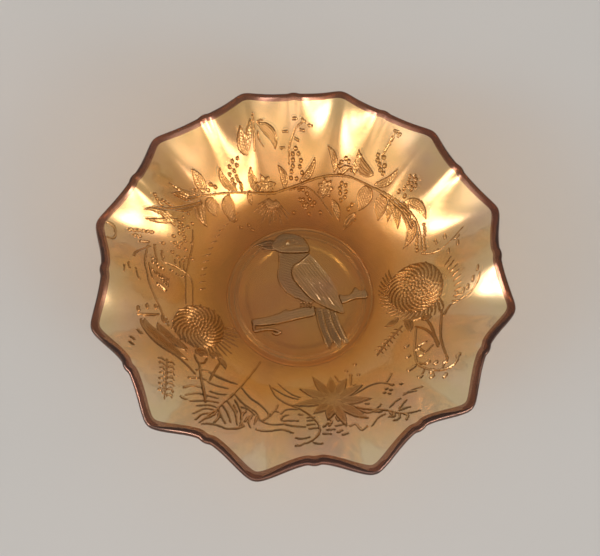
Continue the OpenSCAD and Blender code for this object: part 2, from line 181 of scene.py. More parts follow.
def lustre_glass(
    name, span, stops, film_share, satin, tint, painted_foot_shade=None, film=120.0, grain=6.0, depth=0.12
):
    """Glass with the sprayed film.

    stops colour it over the span of radii, film_share is how much it mirrors, satin is its
    roughness and tint is the light it lets through. painted_foot_shade is the painted shade it
    takes at the foot of raised work, film is its thickness in nanometres, and grain and depth are the
    width and depth of its surface waves in mm.
    """
    material = bpy.data.materials.new(name)
    material.use_nodes = True
    tree = material.node_tree
    tree.nodes.clear()
    coordinates = add(tree, "ShaderNodeTexCoord")
    place = coordinates.outputs["Object"]
    flat = add(tree, "ShaderNodeVectorMath", {"operation": "MULTIPLY", 1: (1, 1, 0)}, _0=place)
    radius = add(tree, "ShaderNodeVectorMath", {"operation": "LENGTH"}, _0=flat.outputs[0])
    out = add(
        tree, "ShaderNodeMapRange", {"From Min": span[0] * MM, "From Max": span[1] * MM},
        Value=radius.outputs["Value"],
    )
    # the spray lies in clouds about 35 mm across, and the colour runs darker towards the left and the far
    # side
    cloud = add(
        tree, "ShaderNodeTexNoise", {"Scale": 1 / 0.035, "Detail": 3.0, "Roughness": 0.55}, Vector=place
    )
    shift = add(
        tree, "ShaderNodeMath", {"operation": "MULTIPLY_ADD", 1: 0.5, 2: -0.25},
        _0=cloud.outputs["Fac"],
    )
    lean = add(tree, "ShaderNodeVectorMath", {"operation": "DOT_PRODUCT", 1: (1.1, -1.5, 0)}, _0=place)
    spread = add(
        tree, "ShaderNodeMath", {"operation": "ADD"}, _0=shift.outputs[0], _1=lean.outputs["Value"]
    )
    where = add(tree, "ShaderNodeMath", {"operation": "ADD"}, _0=out.outputs[0], _1=spread.outputs[0])
    colour = ramp(tree, where.outputs[0], stops)
    # pink and green blushes of the film, about 25 mm across
    blush = add(tree, "ShaderNodeTexNoise", {"Scale": 1 / 0.025, "Detail": 2.0}, Vector=place)
    oil = ramp(tree, blush.outputs["Fac"], [(0.34, "#dccfff"), (0.46, "#ffffff"), (0.6, "#f0ffd4")])
    tinted = add(
        tree, "ShaderNodeMix", {"data_type": "RGBA", "blend_type": "MULTIPLY", 0: 0.25},
        _6=colour.outputs[0], _7=oil.outputs[0],
    )
    # painted shade: brown, and a little more mirror, where the work stands low, at the foot of raised work
    if painted_foot_shade:
        height = add(tree, "ShaderNodeAttribute", {"attribute_name": "raised"})
        low = add(
            tree, "ShaderNodeMapRange",
            {"From Min": 0.25, "From Max": 0.85, "To Min": 1.0, "To Max": 0.0}, Value=height.outputs["Fac"],
        )
        tinted = add(
            tree, "ShaderNodeMix", {"data_type": "RGBA", 7: linear(painted_foot_shade)},
            _0=low.outputs[0], _6=tinted.outputs[2],
        )
    mirror = add(
        tree, "ShaderNodeMapRange",
        {"From Min": 0.3, "From Max": 0.7, "To Min": film_share * 0.6, "To Max": film_share * 1.4},
        Value=cloud.outputs["Fac"],
    )
    if painted_foot_shade:
        mirror = add(
            tree, "ShaderNodeMath", {"operation": "MULTIPLY_ADD", 1: 0.25}, _0=low.outputs[0],
            _2=mirror.outputs[0],
        )
    dull = add(
        tree, "ShaderNodeMapRange",
        {"From Min": 0.3, "From Max": 0.7, "To Min": satin * 0.7, "To Max": satin * 1.4},
        Value=blush.outputs["Fac"],
    )
    wave = add(tree, "ShaderNodeTexNoise", {"Scale": 1 / (grain * MM), "Detail": 2.0}, Vector=place)
    bump = add(
        tree, "ShaderNodeBump", {"Strength": 0.5, "Distance": depth * MM}, Height=wave.outputs["Fac"]
    )
    glass = add(
        tree, "ShaderNodeBsdfPrincipled",
        {"IOR": 1.52, "Transmission Weight": 1.0, "Thin Film Thickness": film, "Thin Film IOR": 1.9},
        Base_Color=tinted.outputs[2], Metallic=mirror.outputs[0], Roughness=dull.outputs[0],
        Normal=bump.outputs[0],
    )
    # lamps shine through the bowl, so it casts an amber shade and not a dark one
    shade = add(tree, "ShaderNodeBsdfTransparent", {"Color": linear(tint)})
    ray = add(tree, "ShaderNodeLightPath")
    both = add(
        tree, "ShaderNodeMixShader", None, _0=ray.outputs["Is Shadow Ray"], _1=glass.outputs[0],
        _2=shade.outputs[0],
    )
    add(tree, "ShaderNodeOutputMaterial", None, Surface=both.outputs[0])
    return material


def joined_glass():
    """Where two regions of the one pressing meet there is only glass, so nothing shows."""
    material = bpy.data.materials.new("joined_glass")
    material.use_nodes = True
    tree = material.node_tree
    tree.nodes.clear()
    clear = add(tree, "ShaderNodeBsdfTransparent", {"Color": (1, 1, 1, 1)})
    add(tree, "ShaderNodeOutputMaterial", None, Surface=clear.outputs[0])
    return material


JOINED = joined_glass()


def edge_keys(faces):
    """One number for each side of each face, the same whichever way the side runs."""
    a, b = faces, np.roll(faces, -1, axis=1)
    return np.minimum(a, b) * (1 << 32) + np.maximum(a, b)


def solid(name, points, glass_faces, joint_faces, glass):
    """A closed region of the pressing. Both lists hold arrays of quads or triangles."""
    mesh = bpy.data.meshes.new(name)
    groups = [(f, 0) for f in glass_faces] + [(f, 1) for f in joint_faces]
    groups = [(f, m) for f, m in groups if len(f)]
    used = np.unique(np.concatenate([f.ravel() for f, m in groups]))
    number = np.zeros(len(points), dtype=np.int64)
    number[used] = np.arange(len(used))
    groups = [(number[f], m) for f, m in groups]
    loops = np.concatenate([f.ravel() for f, m in groups])
    sizes = np.concatenate([np.full(len(f), f.shape[1]) for f, m in groups])
    finish = np.concatenate([np.full(len(f), m) for f, m in groups])
    mesh.vertices.add(len(used))
    mesh.vertices.foreach_set("co", (points[used] * MM).ravel())
    mesh.loops.add(len(loops))
    mesh.loops.foreach_set("vertex_index", loops.astype(np.int32))
    mesh.polygons.add(len(sizes))
    mesh.polygons.foreach_set("loop_start", (np.cumsum(sizes) - sizes).astype(np.int32))
    mesh.polygons.foreach_set("material_index", finish.astype(np.int32))
    mesh.update(calc_edges=True)
    mesh.shade_smooth()
    # the glass keeps its own smooth shading up to each joint
    keys = [np.concatenate([edge_keys(f).ravel() for f, m in groups if m == k] or [[]]) for k in (0, 1)]
    border = np.intersect1d(keys[0], keys[1])
    ends = np.empty(len(mesh.edges) * 2, dtype=np.int32)
    mesh.edges.foreach_get("vertices", ends)
    ends = ends.reshape(-1, 2).astype(np.int64)
    mesh.edges.foreach_set("use_edge_sharp", np.isin(ends.min(1) * (1 << 32) + ends.max(1), border))
    mesh.materials.append(glass)
    mesh.materials.append(JOINED)
    piece = bpy.data.objects.new(name, mesh)
    bpy.context.scene.collection.objects.link(piece)
    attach(piece, "root")
    return piece


def press(name, h, glass):
    """Makes a closed piece of all the cells that h lifts, standing on the plain bowl."""
    taken = plain & (h[CELLS] > 0).any(axis=1)
    plain[taken] = False
    cells = CELLS[taken]
    used = np.unique(cells)
    fresh = used[~cut[used]]
    HEIGHT[fresh] = h[fresh]
    cut[used] = True
    raised = HEIGHT[used] > 0
    number = np.zeros(len(PLAN), dtype=np.int64)
    number[used] = np.arange(len(used))
    front = number[cells]
    under = np.where(raised, len(used) + np.cumsum(raised) - 1, np.arange(len(used)))
    points = np.concatenate(
        [GROUND[used] + HEIGHT[used, None] * UP[used], GROUND[used[raised]]]
    )
    sides = np.stack([front, np.roll(front, -1, axis=1)], axis=-1).reshape(-1, 2)
    keys = sides.min(1) * (1 << 32) + sides.max(1)
    _, first, count = np.unique(keys, return_index=True, return_counts=True)
    a, b = sides[first[count == 1]].T
    both = raised[a] & raised[b]
    walls = np.stack([b, a, under[a], under[b]], axis=1)[both]
    only_a = np.stack([b, a, under[a]], axis=1)[raised[a] & ~raised[b]]
    only_b = np.stack([b, a, under[b]], axis=1)[raised[b] & ~raised[a]]
    piece = solid(name, points, [front], [under[front][:, ::-1], walls, only_a, only_b], glass)
    # how far up each point stands, which the painted shade at the foot of raised work follows
    share = np.zeros(len(points))
    share[: len(used)] = HEIGHT[used] / HEIGHT[used].max()
    piece.data.attributes.new("raised", "FLOAT", "POINT").data.foreach_set("value", share)
    return piece


# The mould cutter's tools. Each lifts h, the height of the picture over the bowl, where it is struck.


def blank():
    return np.zeros(len(PLAN))


def smooth_path(points, steps=6, closed=False):
    """A smooth curve through a few chosen points."""
    p = np.array(points, dtype=float)
    n = len(p)
    spans = n if closed else n - 1
    at = (lambda i: p[i % n]) if closed else (lambda i: p[min(max(i, 0), n - 1)])
    path = []
    for i in range(spans):
        a, b, c, d = at(i - 1), at(i), at(i + 1), at(i + 2)
        for f in np.arange(steps) / steps:
            square = (2 * a - 5 * b + 4 * c - d) * f**2
            cube = (3 * b - a - 3 * c + d) * f**3
            path.append(0.5 * (2 * b + (c - a) * f + square + cube))
    path.append(p[0] if closed else p[-1])
    return np.array(path)


def near(path, margin):
    low, high = path.min(0) - margin, path.max(0) + margin
    return np.flatnonzero(
        (PLAN[:, 0] > low[0]) & (PLAN[:, 0] < high[0]) & (PLAN[:, 1] > low[1]) & (PLAN[:, 1] < high[1])
    )


def measure(path, spots):
    """Distance from the path, its side (1 is left) and how far along it is, from 0 to 1."""
    far = np.full(len(spots), np.inf)
    side, along = np.ones(len(spots)), np.zeros(len(spots))
    done = 0.0
    for a, b in zip(path[:-1], path[1:]):
        way = b - a
        length = math.hypot(*way) + 1e-9
        q = spots - a
        t = np.clip((q @ way) / length**2, 0, 1)
        rest = q - t[:, None] * way
        d = np.hypot(rest[:, 0], rest[:, 1])
        closer = d < far
        far[closer] = d[closer]
        along[closer] = done + t[closer] * length
        side[closer] = np.where(way[0] * q[closer, 1] - way[1] * q[closer, 0] < 0, -1, 1)
        done += length
    return far, side, along / done


def lift(h, spots, value):
    h[spots] = np.maximum(h[spots], value)


def ridge(h, points, width, height, start=1.0, end=1.0, steps=6):
    """A round ridge along a path, whose width runs from start to end times its own."""
    path = smooth_path(points, steps) if len(points) > 2 else np.array(points, dtype=float)
    spots = near(path, width)
    d, side, s = measure(path, PLAN[spots])
    share = start + (1 - start) * np.minimum(1, s * 4) if start < 1 else 1.0
    share = share * (1 - (1 - end) * s)
    half = np.maximum(0.05, width / 2 * share)
    e = np.clip(1 - (d / half) ** 2, 0, 1)
    lift(h, spots, height * np.minimum(1, share + 0.2) * np.sqrt(e))


def bead(h, place, radius, height):
    """A round bead."""
    c = np.array(place, dtype=float)
    spots = near(c[None], radius)
    d = np.hypot(*(PLAN[spots] - c).T) / radius
    lift(h, spots, height * np.sqrt(np.clip(1 - d**2, 0, 1)))


def leaf(h, a, b, width, bow=0.0, height=0.9, veins="ribs", blunt=0.8):
    """A leaf from a to b with a raised edge. bow swings it to the left of its run."""
    a, b = np.array(a, dtype=float), np.array(b, dtype=float)
    run = b - a
    length = math.hypot(*run)
    left = np.array([-run[1], run[0]]) / length
    f = np.linspace(0, 1, 9)[:, None]
    path = a + run * f + left * bow * 4 * f * (1 - f)
    spots = near(path, width / 2)
    d, side, s = measure(path, PLAN[spots])
    half = width / 2 * np.sin(math.pi * np.clip(s, 0, 1) ** blunt)
    inside = half - d
    on = (inside > 0) & (s > 0) & (s < 1)
    soft = np.clip(inside / 0.35, 0, 1)
    flat = 0.35 * np.sqrt(soft)
    rim = 0.65 * np.exp(-(((inside - 0.45) / 0.28) ** 2))
    rib = 0.5 * np.exp(-((d / 0.28) ** 2)) * np.sin(math.pi * s) ** 0.3
    way = s * length - d * 0.8
    marks = {
        "ribs": rib + 0.28 * (0.5 + 0.5 * np.cos(2 * math.pi * way / 1.5)),
        "dots": 0.5 * np.clip(np.cos(2 * math.pi * s * length / 1.7) * np.cos(2 * math.pi * d / 1.7), 0, 1),
        "lines": 0.4 * (0.5 + 0.5 * np.cos(2 * math.pi * side * d / 1.1)),
        "none": rib,
    }[veins]
    lift(h, spots, np.where(on, height * (flat + np.maximum(rim, marks * soft)), 0))


def filled(h, outline, height, round_off, closed_steps=5):
    """A pillow of glass inside a closed outline. Returns where it is and how far in each spot lies."""
    path = smooth_path(outline, closed_steps, closed=True)
    spots = near(path, 0.5)
    q = PLAN[spots]
    d, side, s = measure(path, q)
    crossed = np.zeros(len(q), dtype=bool)
    for (x0, y0), (x1, y1) in zip(path[:-1], path[1:]):
        if y0 != y1:
            over = (q[:, 1] > min(y0, y1)) & (q[:, 1] <= max(y0, y1))
            crossed ^= over & (q[:, 0] < x0 + (q[:, 1] - y0) * (x1 - x0) / (y1 - y0))
    inside = np.where(crossed, d, -d)
    lift(h, spots, height * np.sqrt(np.clip(1 - (1 - np.clip(inside / round_off, 0, 1)) ** 2, 0, 1)))
    return spots, inside


def hatch(h, spots, inside, way, pitch, depth):
    """Fine feather grooves across a filled shape."""
    q = PLAN[spots] @ np.array([math.cos(way), math.sin(way)])
    groove = depth * (0.5 + 0.5 * np.cos(2 * math.pi * q / pitch)) * np.clip(inside - 0.5, 0, 1)
    h[spots] = np.where(inside > 0, h[spots] - groove * (h[spots] > depth), h[spots])


# Stippled glass: the cutter stipples the bird and branch, so they are paler and more matt than the
# ground, with painted shade in brown round their outlines, at the foot of the raised work
STIPPLED = lustre_glass(
    "stippled_glass", (0, 46), [(0.0, "#e6c698"), (1.0, "#e2be8c")], 0.24, 0.12, "#e4c896",
    painted_foot_shade="#7e5630", grain=1.0, depth=0.2,
)
BIRD_H = 1.5

head = blank()
skull = [(-20, 29.6), (-19.5, 35), (-14.5, 39.8), (-7, 40.3), (-1, 38), (2.8, 33), (3.4, 28.6), (-4, 27.2),
         (-13, 26.6), (-16, 27)]
spots, inside = filled(head, skull, BIRD_H, 1.1)
hatch(head, spots, inside, math.radians(30), 1.3, 0.12)
leaf(head, (-19, 32.2), (-30, 30.4), 3.6, -0.3, BIRD_H, "none", 0.55)
leaf(head, (-17, 29.4), (-29, 29.2), 2.6, 0.4, BIRD_H, "none", 0.55)
ridge(head, [(-20.5, 34.5), (-25, 33.6), (-30, 30.6)], 0.9, 0.9)
bead(head, (-10.5, 33.4), 2.0, BIRD_H + 0.7)
bead(head, (-10.5, 33.4), 1.0, BIRD_H + 1.1)
for x, y in [(-14, 32.4), (-13, 30.8), (-7, 35.6), (-4.5, 34.4), (-6, 32), (-13.6, 35.4), (-8.5, 31)]:
    bead(head, (x, y), 0.75, BIRD_H + 0.5)
ridge(head, [(-17, 28), (-12, 29.6), (-6, 31), (1, 31.6)], 1.8, BIRD_H + 0.25, 0.3)
piece = press("bird_head", head, STIPPLED)
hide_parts("bird_head")

# ---------------------------------------------------------------------------------------------
# The folded wing lies over the body from shoulder to tail. It is cut with a raised edge, a row of
# small feathers and long flight feathers under them, and pressed in one with the bowl.
wing = blank()
blade = [(4, 26.5), (-1, 21.2), (-5, 18), (-6, 13), (-3.6, 8.2), (1.5, 2.8), (6, -1.6), (12, -5.4),
         (18.6, -8), (24.5, -10), (27.4, -9.6), (23.6, -1), (22.4, 3.6), (18.5, 10.4), (12.5, 17.6),
         (7, 23.4)]
spots, inside = filled(wing, blade, BIRD_H, 0.9)
hatch(wing, spots, inside, math.radians(40), 1.7, 0.4)
ridge(wing, blade + blade[:1], 1.0, BIRD_H + 0.35)
ridge(wing, [(4, 20.4), (-1.5, 20.2), (-4.8, 17), (-5, 12.6), (-2, 8)], 1.1, BIRD_H + 0.35)
for k in range(9):
    root = np.array([-1.5 + 1.5 * k, 13.5 - 0.2 * k])
    ridge(wing, [root, root + (6.5, -5.4), root + (12 + 0.2 * k, -11.6)], 0.8, BIRD_H + 0.25, 0.5, 0.6)
for k in range(4):
    ridge(wing, [(10 + 4 * k, 0.5 - k), (14 + 4 * k, -4.8 - k)], 1.3, BIRD_H + 0.35, 1, 0.6)
piece = press("bird_wing", wing, STIPPLED)
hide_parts("bird_wing")

# ---------------------------------------------------------------------------------------------
# The body shows in front of the wing: the breast, cut in fine slanting lines, short feathers down
# the belly, and the toes that grip the perch. It is a little lower than the wing.
body = blank()
breast = [(3.6, 28), (-4, 27), (-14.6, 26), (-14.6, 19), (-14.8, 11), (-12.4, 5), (-8, 0.4),
          (-2, -2.8), (1.4, -4.2), (6, -5.8), (9, -4), (4, 2), (-2, 8), (-5, 14), (-3, 19), (3, 23)]
spots, inside = filled(body, breast, BIRD_H * 0.8, 1.2)
hatch(body, spots, inside, math.radians(75), 1.6, 0.3)
ridge(body, breast[1:8], 1.0, BIRD_H)
for k in range(7):
    ridge(body, [(-12.6 + 1.1 * k, 8.4 - 1.5 * k), (-11 + 1.3 * k, 5.6 - 1.4 * k)], 0.8, BIRD_H, 0.6, 0.5)
for x in (0.6, 2.4, 4.4, 6.4):
    ridge(body, [(x, -4.2), (x + 0.3, -8.2)], 1.0, BIRD_H * 0.9)
    bead(body, (x + 0.3, -5.4), 0.8, BIRD_H + 0.3)
piece = press("bird_body", body, STIPPLED)
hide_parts("bird_body")

# ---------------------------------------------------------------------------------------------
# The tail hangs below the perch. Its three long feathers end in points, and each is cut with a
# quill and close bars.
tail = blank()
fan = [(9.6, -9), (14.5, -8.4), (22, -8.6), (25, -17), (30.4, -27.4), (29.6, -29.4), (26.8, -26.8),
       (26, -32.6), (21.4, -28.4), (20, -33), (17.2, -30), (13.6, -21.5)]
spots, inside = filled(tail, fan, BIRD_H * 0.6, 0.6, 3)
hatch(tail, spots, inside, math.radians(-68), 1.6, 0.35)
ridge(tail, fan[3:], 0.9, BIRD_H * 0.9, steps=3)
for quill in ([(13.8, -9.4), (17, -20), (21.2, -29)], [(18, -9.4), (21.6, -19), (26.4, -27.4)]):
    ridge(tail, quill, 0.9, BIRD_H + 0.2)
ridge(tail, [(9.9, -9.4), (13.4, -21.4), (18.2, -30.6)], 0.9, BIRD_H + 0.1)
ridge(tail, [(22.2, -9.4), (25.4, -18), (29.8, -27.2)], 0.9, BIRD_H + 0.1)
piece = press("bird_tail", tail, STIPPLED)
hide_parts("bird_tail")

# ---------------------------------------------------------------------------------------------
# The perch is a cut branch with bark and a bud, pressed in one with the bowl. It has a knob at its
# right end, and a stub twig and a row of drilled dots at its left.
branch = blank()
left_limb = [(-28.2, -18.8), (-20, -16.6), (-11.6, -13.2), (-8.6, -10.6), (-6.4, -11.4), (1, -8.8),
             (8.6, -7.2), (10, -13), (3, -15.6), (-6, -18.6), (-15, -21.2), (-26.4, -22.8)]
spots, inside = filled(branch, left_limb, BIRD_H, 1.3, 4)
hatch(branch, spots, inside, math.radians(108), 1.6, 0.25)
right_limb = [(24, 1.6), (27.5, 1.2), (31.4, 3), (33.6, 7.4), (36.2, 5.4), (40.4, 5.8), (41.8, 0.8),
              (34, -1), (27, -4.2), (24, -3)]
spots, inside = filled(branch, right_limb, BIRD_H, 1.2, 4)
hatch(branch, spots, inside, math.radians(110), 1.6, 0.25)
ridge(branch, [(-27, -22), (-26, -26), (-22, -25), (-16, -24.2), (-10.6, -25.4)], 1.9, BIRD_H)
ridge(branch, [(-14.6, -26.6), (-12.4, -27), (-10.4, -25.6)], 1.7, BIRD_H)
for k in range(14):
    bead(branch, (-13.6 + 1.45 * k, -20.8 + 0.52 * k), 0.6, BIRD_H + 0.4)
piece = press("perch_branch", branch, STIPPLED)
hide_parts("perch_branch")

# ---------------------------------------------------------------------------------------------
# A twisted rope runs round the well where the wall begins. It is fine and even, as a knurling
# wheel leaves it, and is pressed in one with the bowl.
# Well glass: a heavy film with a fine satin, so the ground of the well is a smoky amber
WELL_GLASS = lustre_glass(
    "well_glass", (20, 46),
    [(0.0, "#e6ba7a"), (0.5, "#e2b26c"), (0.8, "#e0a65c"), (1.0, "#e29c4c")], 0.2, 0.16, "#e4c896",
)
ROPE_R, ROPE_W, ROPE_TURNS = WELL_R - 1.1, 1.5, 170
rope = blank()
d = np.abs(plan_r - ROPE_R) / (ROPE_W / 2)
twist = 0.65 + 0.35 * np.cos(ROPE_TURNS * plan_way + 2.2 * (plan_r - ROPE_R))
rope[:] = 0.6 * np.sqrt(np.clip(1 - d**2, 0, 1)) * twist
piece = press("rope_border", rope, WELL_GLASS)
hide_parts("rope_border")

# ---------------------------------------------------------------------------------------------
# The stem of the upper garland runs over the well from side to side and carries its leaves, flowers
# and berries. It is a round groove in the plunger, so it stands out of the glass as a ridge.
# Thick lustre: the spray gathers on whatever stands up, amber on top, with painted shade in brown at its
# foot
THICK_LUSTRE = lustre_glass(
    "thick_lustre", (WELL_R, TIP_R),
    [(0.0, "#cc9048"), (0.3, "#dca25a"), (0.7, "#e8b87c"), (1.0, "#eecca2")], 0.22, 0.04, "#f0d4a6",
    painted_foot_shade="#a06a34", grain=1.2, depth=0.2,
)
STEM_H = 1.1
stem = blank()
ridge(stem, [(-73, 46.5), (-62, 52.5), (-50, 57.5), (-38, 60.4), (-24, 62.5), (-15, 66), (-5, 70),
             (5, 73.5), (15, 75), (25, 74.6), (33, 71.8), (42, 67), (50, 62.4), (57, 58), (64, 52),
             (69, 45), (71, 36), (71.5, 28)], 1.3, STEM_H, 0.5, 0.6)
ridge(stem, [(-12, 66), (-2, 68.5), (6, 64.5), (12, 58.5), (17, 53)], 1.0, STEM_H, 0.6, 0.4)
ridge(stem, [(38, 69), (46, 64), (54, 58), (62, 50.5), (66.5, 42)], 1.0, STEM_H, 0.6, 0.5)
ridge(stem, [(-66, 47), (-76, 41.4), (-86, 36.4), (-95, 34)], 1.0, STEM_H, 0.8, 0.5)
piece = press("garland_stem", stem, THICK_LUSTRE)
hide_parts("garland_stem")

# ---------------------------------------------------------------------------------------------
# Two small open flowers sit on the garland, with a fan of stamens below one of them. Every petal is
# cut with fine lines along it and pressed in one with the wall.
FLOWER_H = 1.4


def daisy(h, place, disc_r, petals, width, height, turn=0.0):
    """A flower with pointed petals, whose lengths are given in order round it, and a stippled eye."""
    c = np.array(place, dtype=float)
    for k, length in enumerate(petals):
        way = turn + 2 * math.pi * k / len(petals)
        w = np.array([math.cos(way), math.sin(way)])
        leaf(h, c + w * disc_r * 0.7, c + w * length, width, 0, height, "lines", 0.7)
    bead(h, c, disc_r, height * 0.8)
    for k in range(int(disc_r**2 * 2.2)):
        way = k * 2.4
        r = disc_r * 0.88 * math.sqrt(k / (disc_r**2 * 2.2))
        bead(h, c + r * np.array([math.cos(way), math.sin(way)]), 0.42, height * 1.25)


flowers = blank()
daisy(flowers, (-27, 66), 1.9, [6.6, 5.8, 6.6, 6.0, 6.6, 5.6, 6.4], 3.2, FLOWER_H, 0.4)
daisy(flowers, (10.8, 68.2), 1.7, [5.4] * 7, 3.0, FLOWER_H)
for k in range(13):
    way = math.radians(-150 + 9.5 * k)
    reach = 11 + 5 * math.sin(k * 1.9) ** 2
    w = np.array([math.cos(way), math.sin(way)])
    ridge(flowers, [np.array((-22, 61)) + 2.5 * w, np.array((-22, 60.5)) + reach * w], 0.9, 0.7, 0.8, 0.3)
piece = press("garland_flowers", flowers, THICK_LUSTRE)
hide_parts("garland_flowers")

# ---------------------------------------------------------------------------------------------
# The garland's leaves are bowed and have a raised edge. Some are cut with ribs, some are stippled
# with dots, and some have only a midrib.
# Each row: where the leaf starts and ends, its width, its bow and its cutting
LEAF_H = 1.3
leaves = blank()
for row in [
    (-64.5, 52.4, -72.5, 63.5, 6, -1.2, "ribs"), (-45, 60.6, -57.5, 69.6, 4.8, 3.2, "ribs"),
    (-30.5, 62.6, -37.4, 74.4, 5.4, 2.2, "ribs"), (-15.6, 66.6, -21, 78.2, 4.4, -2, "dots"),
    (-6, 70.8, 2.8, 84.4, 4.2, -2, "dots"), (15.6, 76.6, 9.6, 89.6, 4, -2.2, "none"),
    (41, 74.6, 30.8, 89, 6.5, 3.4, "none"), (29, 75.4, 33.4, 86, 3.6, 1.6, "ribs"),
    (41.6, 69.4, 54.2, 75.6, 4.6, -3, "ribs"), (50.6, 60.4, 57.8, 42.6, 5.2, 2.2, "ribs"),
    (56.6, 58.2, 63.6, 40.4, 5.6, 2.6, "none"), (60.6, 57.4, 74.2, 44.8, 5.4, 3.6, "ribs"),
    (66, 47.4, 61.4, 30.4, 5.6, 2.2, "dots"), (-59.6, 52.4, -56, 42.4, 8, -1, "dots"),
    (-49.4, 57, -45, 41.8, 8, -2, "dots"), (-65.4, 48.6, -61, 34.8, 6.4, -2.4, "ribs"),
    (-70, 46.6, -84.4, 45.6, 4.2, -1, "ribs"), (-69, 43.6, -82.4, 37, 3.4, 0, "none"),
    (-66, 50.4, -86, 51.4, 2.6, 1.4, "none"), (37.6, 69.6, 33, 55.6, 9.6, 0.6, "dots"),
    (45.6, 63.6, 45.2, 49, 8, 0.8, "dots"), (15.4, 62.6, 21.4, 50, 4.6, 0.8, "dots"),
    (31.4, 54.6, 24.4, 44.6, 5, -0.8, "none"), (-80, 28, -98.8, 30.6, 4.4, -4.2, "ribs"),
    (-79, 33, -97, 26, 3, 1, "none"), (51, 57.4, 51.4, 47.6, 3.4, 0.4, "none"),
    (-37, 62, -35, 54, 3.4, -0.8, "none"), (17.4, 74.4, 27.6, 79.6, 3.6, 1.4, "ribs"),
]:
    leaf(leaves, row[:2], row[2:4], row[4], row[5], LEAF_H, row[6])
piece = press("garland_leaves", leaves, THICK_LUSTRE)
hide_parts("garland_leaves")

# ---------------------------------------------------------------------------------------------
# Bunches of berries hang on the garland and stand over it. The cutter drills each one with a round
# burr, so they come out of the mould as small domes.
BERRY_H = 1.3
berries = blank()
for x, y in [
    (-46.5, 77), (-49.8, 74.6), (-46.6, 73.2), (-51.2, 71.4), (-48, 70), (-50.8, 67.4), (-46.2, 67.4),
    (-48.6, 65), (-45, 65.6), (-47, 62.8), (-43, 64), (-42.4, 61.8), (-61.2, 58.6), (-58.2, 58.2),
    (-62.2, 55.2), (-58, 54.4), (-67.8, 56.4), (-68.4, 52.6), (-65.4, 56.6), (-10.2, 88.2),
    (-11.6, 85.2), (-8, 85.6), (-11.2, 82), (-6.2, 82.4), (-11, 79), (-6.6, 79), (-11.6, 76),
    (-11.6, 72.6), (-8, 72.6), (-4.8, 76), (22.4, 84), (19.8, 82), (24.6, 82.4), (21.8, 79.6),
    (24.6, 79.2), (18.6, 79.8), (27, 78), (43, 85), (46.6, 83), (44, 79.6), (47, 78.6), (44.8, 76.6),
    (46.4, 74.4), (42.8, 82.2), (61.6, 67.2), (62, 70.4), (65, 70.4), (59.6, 64.6), (64, 66.6),
    (66.4, 68.2), (66.8, 65.2), (64.4, 63.8), (60.6, 60.6), (56.4, 63.4), (-6, 67), (-3.4, 67),
    (-0.6, 65), (-2.6, 61.6), (1.4, 62.2), (-4.6, 61.4), (0, 59.2), (3.2, 59), (-2.2, 58.8),
    (-0.6, 57.4), (4.6, 60.6), (21, 71), (23.6, 70), (20.2, 68.4), (24, 66.6), (23.6, 63.6), (21.2, 62),
    (20.4, 65.8), (-33.6, 40.2), (-40.8, 40.2), (-36, 42.6), (-44.4, 44), (8.8, 55.2), (1.6, 54),
    (-8, 54), (26.6, 57), (28.4, 59.2), (30.6, 51),
]:
    bead(berries, (x, y), 1.15, BERRY_H)
for k in range(8):
    for x in (69.2, 73):
        bead(berries, (x + 0.4 * math.sin(k), 42.4 - 2.1 * k), 0.95, BERRY_H * 0.9)
for k in range(5):
    bead(berries, (-94.4 + 1.4 * k - 0.3 * (k > 2), 41.2 - 2.0 * k + 0.2 * k * k), 1.0, BERRY_H)
    bead(berries, (-89.4 + 2.1 * k, 39.8 - 0.4 * k), 0.95, BERRY_H)
piece = press("garland_berries", berries, THICK_LUSTRE)
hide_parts("garland_berries")

# ---------------------------------------------------------------------------------------------
# A pair of leaves spread like a moth's wings near the rim, over the garland. They are cut with ribs
# and lines, and pressed in one with the wall.
moth = blank()
leaf(moth, (-40, 79.6), (-45.6, 93.6), 8, 1.2, LEAF_H, "ribs", 0.7)
leaf(moth, (-39.6, 81), (-38.8, 97.6), 3.6, 0.6, LEAF_H, "ribs")
ridge(moth, [(-35.4, 82), (-36, 90), (-38, 100)], 1.1, LEAF_H, 0.5, 0.5)
leaf(moth, (-34.6, 95.6), (-23, 86), 6.4, 3.4, LEAF_H * 0.8, "lines")
ridge(moth, [(-34.4, 92), (-33, 88), (-30, 85.4)], 0.8, 0.6, 0.5, 0.5)
ridge(moth, [(-35, 96), (-33.6, 98), (-31.4, 98.6)], 0.8, 0.6, 0.5, 0.5)
piece = press("moth_leaves", moth, THICK_LUSTRE)
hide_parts("moth_leaves")

# ---------------------------------------------------------------------------------------------
# Wattle on the left of the wall: slender stems, scattered fluffy balls and a dashed ring of twigs.
# It is the finest line and bead work of the picture, pressed in one with the wall.
wattle = blank()
for path in (
    [(-69.4, 30), (-68.6, 20), (-69.4, 10), (-70, 0), (-69, -8), (-68, -16)],
    [(-82, 5.4), (-76, 5), (-70, 3), (-66.6, 0), (-65, -7), (-64, -15.6)],
    [(-91, 12), (-92.4, 6), (-93.5, 0.6), (-92, -6), (-90, -12), (-86, -18), (-80, -25), (-74.4, -33)],
    [(-88, 14), (-87, 8), (-86, 3)], [(-91, 1), (-90, -4), (-88.6, -8)],
    [(-98.6, -6), (-97.4, -9.6), (-96, -12)], [(-102.6, -3.6), (-102.8, -6), (-102, -7.6)],
    [(-105.4, -7), (-104.8, -11)], [(-84, 12), (-83.4, 7), (-82, 5.4)], [(-77, 9), (-76, 6)],
    [(-74, 9), (-73.4, 5)], [(-72, 8), (-71, 4)], [(-90, 12), (-97, 6), (-99.4, 2)],
):
    ridge(wattle, path, 0.95, 0.85, 0.7, 0.7)
